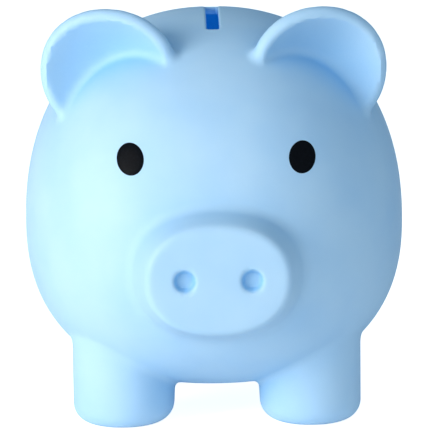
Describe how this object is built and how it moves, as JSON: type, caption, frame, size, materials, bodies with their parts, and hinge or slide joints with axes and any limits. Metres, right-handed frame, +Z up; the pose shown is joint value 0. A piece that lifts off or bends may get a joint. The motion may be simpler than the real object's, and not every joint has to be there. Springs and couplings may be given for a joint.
{
  "type": "piggy bank",
  "caption": "Hollow light blue vinyl piggy bank with a coin slot in its back, cupped ears, a curly tail, printed eyes and a pull-out stopper in its belly.",
  "frame": {"origin": "on the floor under the middle of the object's box", "axes": "+Z up, -Y the way the pig looks, +X to the pig's left"},
  "size_m": [0.1492, 0.1939, 0.1633],
  "materials": {
    "vinyl": "matte rotocast vinyl",
    "stopper_plastic": "satin injection moulded",
    "eye_ink": "printed ink film"
  },
  "bodies": {
    "pig": {"body_skin": "vinyl", "left_eye": "eye_ink", "right_eye": "eye_ink"},
    "stopper": {"stopper": "stopper_plastic"}
  },
  "joints": [
    {"name": "stopper_pull", "type": "slide", "parent": "pig", "child": "stopper", "axis": [0, 0, -1], "range_m": [0, 0.012]}
  ]
}
